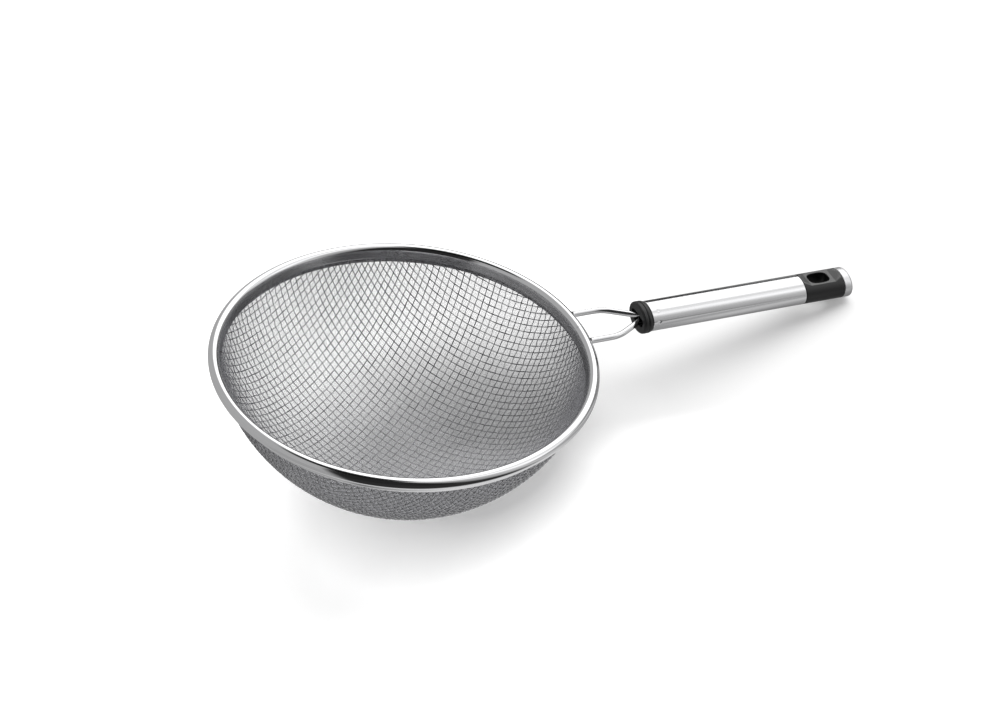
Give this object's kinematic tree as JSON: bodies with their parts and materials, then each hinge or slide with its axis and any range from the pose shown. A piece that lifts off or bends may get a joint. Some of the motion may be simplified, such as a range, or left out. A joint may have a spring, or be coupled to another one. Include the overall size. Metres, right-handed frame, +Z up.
{
  "type": "long-handled mesh strainer",
  "caption": "Round kitchen strainer with a deep bowl of fine and coarse wire mesh, a rolled steel rim, a fork of bent rods and an oval steel handle with a hanging hole.",
  "frame": {"origin": "centre of the footprint, on the surface that the strainer lies on", "axes": "+X along the handle away from the bowl, +Y across it, +Z up from the surface"},
  "size_m": [0.347, 0.2, 0.1068],
  "materials": {
    "polished_steel": "polished",
    "wire_steel": "drawn wire",
    "mesh_steel": "woven wire",
    "tube_steel": "brushed along the handle",
    "black_plastic": "satin"
  },
  "bodies": {
    "root": {"rim_band": "polished_steel", "rim_core_wire": "wire_steel", "fine_mesh": "mesh_steel", "coarse_mesh": "mesh_steel", "fork_wire_left": "polished_steel", "fork_wire_right": "polished_steel", "front_ferrule": "black_plastic", "handle_tube": "tube_steel", "tail_piece": "black_plastic", "end_cap": "tube_steel"}
  },
  "joints": []
}
